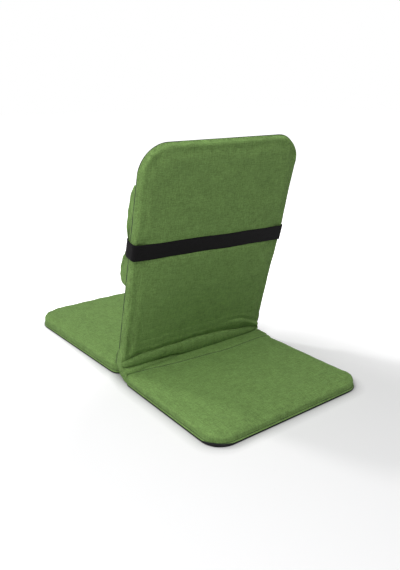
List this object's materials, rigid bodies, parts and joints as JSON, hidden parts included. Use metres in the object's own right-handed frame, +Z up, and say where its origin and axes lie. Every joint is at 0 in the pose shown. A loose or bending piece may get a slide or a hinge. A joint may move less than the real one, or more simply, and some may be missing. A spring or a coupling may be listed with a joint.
{
  "type": "folding floor chair",
  "caption": "Folding padded floor chair with seat, reclining back and rear tail on one hinge line, in green woven cloth, with a strapped lumbar cushion.",
  "frame": {"origin": "middle of the footprint of seat and tail together, on the floor", "axes": "+X to the sitter's left, +Y to the rear, along seat and tail, +Z up"},
  "size_m": [0.4242, 0.816, 0.5345],
  "materials": {
    "cover_cloth": "matte",
    "rear_cloth": "matte",
    "base_cloth": "matte",
    "webbing": "matte",
    "foam": "matte",
    "frame_steel": "satin",
    "hinge_steel": "satin",
    "spring_steel": "satin"
  },
  "bodies": {
    "floor_section": {"tail_frame": "frame_steel", "tail_cross_tube": "frame_steel", "tail_foam": "foam", "tail_cover": "cover_cloth", "tail_base_cloth": "base_cloth", "rear_flap": "rear_cloth", "hinge_gusset": "cover_cloth", "left_side_gusset": "cover_cloth", "right_side_gusset": "cover_cloth", "left_case_outer": "hinge_steel", "left_case_inner": "hinge_steel", "left_pawl_spring": "spring_steel", "left_pivot_rivet": "hinge_steel", "left_pawl_pin": "hinge_steel", "left_spring_post": "hinge_steel", "right_case_outer": "hinge_steel", "right_case_inner": "hinge_steel", "right_pawl_spring": "spring_steel", "right_pivot_rivet": "hinge_steel", "right_pawl_pin": "hinge_steel", "right_spring_post": "hinge_steel"},
    "backrest": {"back_frame": "frame_steel", "back_cross_tube": "frame_steel", "back_foam": "foam", "back_rear_cover": "rear_cloth", "back_front_cover": "cover_cloth", "left_ratchet_plate": "hinge_steel", "right_ratchet_plate": "hinge_steel"},
    "seat_section": {"seat_frame": "frame_steel", "seat_cross_tube": "frame_steel", "seat_foam": "foam", "seat_cover": "cover_cloth", "seat_base_cloth": "base_cloth", "left_seat_arm": "hinge_steel", "right_seat_arm": "hinge_steel"},
    "lumbar_support": {"lumbar_cushion": "cover_cloth", "lumbar_strap": "webbing"},
    "left_catch": {"left_pawl": "spring_steel"},
    "right_catch": {"right_pawl": "spring_steel"}
  },
  "joints": [
    {"name": "back_recline", "type": "hinge", "parent": "floor_section", "child": "backrest", "pos_m": [0, 0.0505, 0.038], "axis": [-1, 0, 0], "range_deg": [-88, 72], "deforming": ["rear_flap"]},
    {"name": "seat_fold", "type": "hinge", "parent": "floor_section", "child": "seat_section", "pos_m": [0, 0.0505, 0.038], "axis": [-1, 0, 0], "range_deg": [0, 90], "deforming": ["hinge_gusset"]},
    {"name": "lumbar_slide", "type": "slide", "parent": "backrest", "child": "lumbar_support", "axis": [0, -0.2521, -0.9677], "range_m": [-0.075, 0.09]},
    {"name": "left_pawl_swing", "type": "hinge", "parent": "floor_section", "child": "left_catch", "pos_m": [0.186, 0.0435, 0.019], "axis": [-1, 0, 0], "range_deg": [-5.5, 0]},
    {"name": "right_pawl_swing", "type": "hinge", "parent": "floor_section", "child": "right_catch", "pos_m": [-0.186, 0.0435, 0.019], "axis": [-1, 0, 0], "range_deg": [-5.5, 0]}
  ]
}
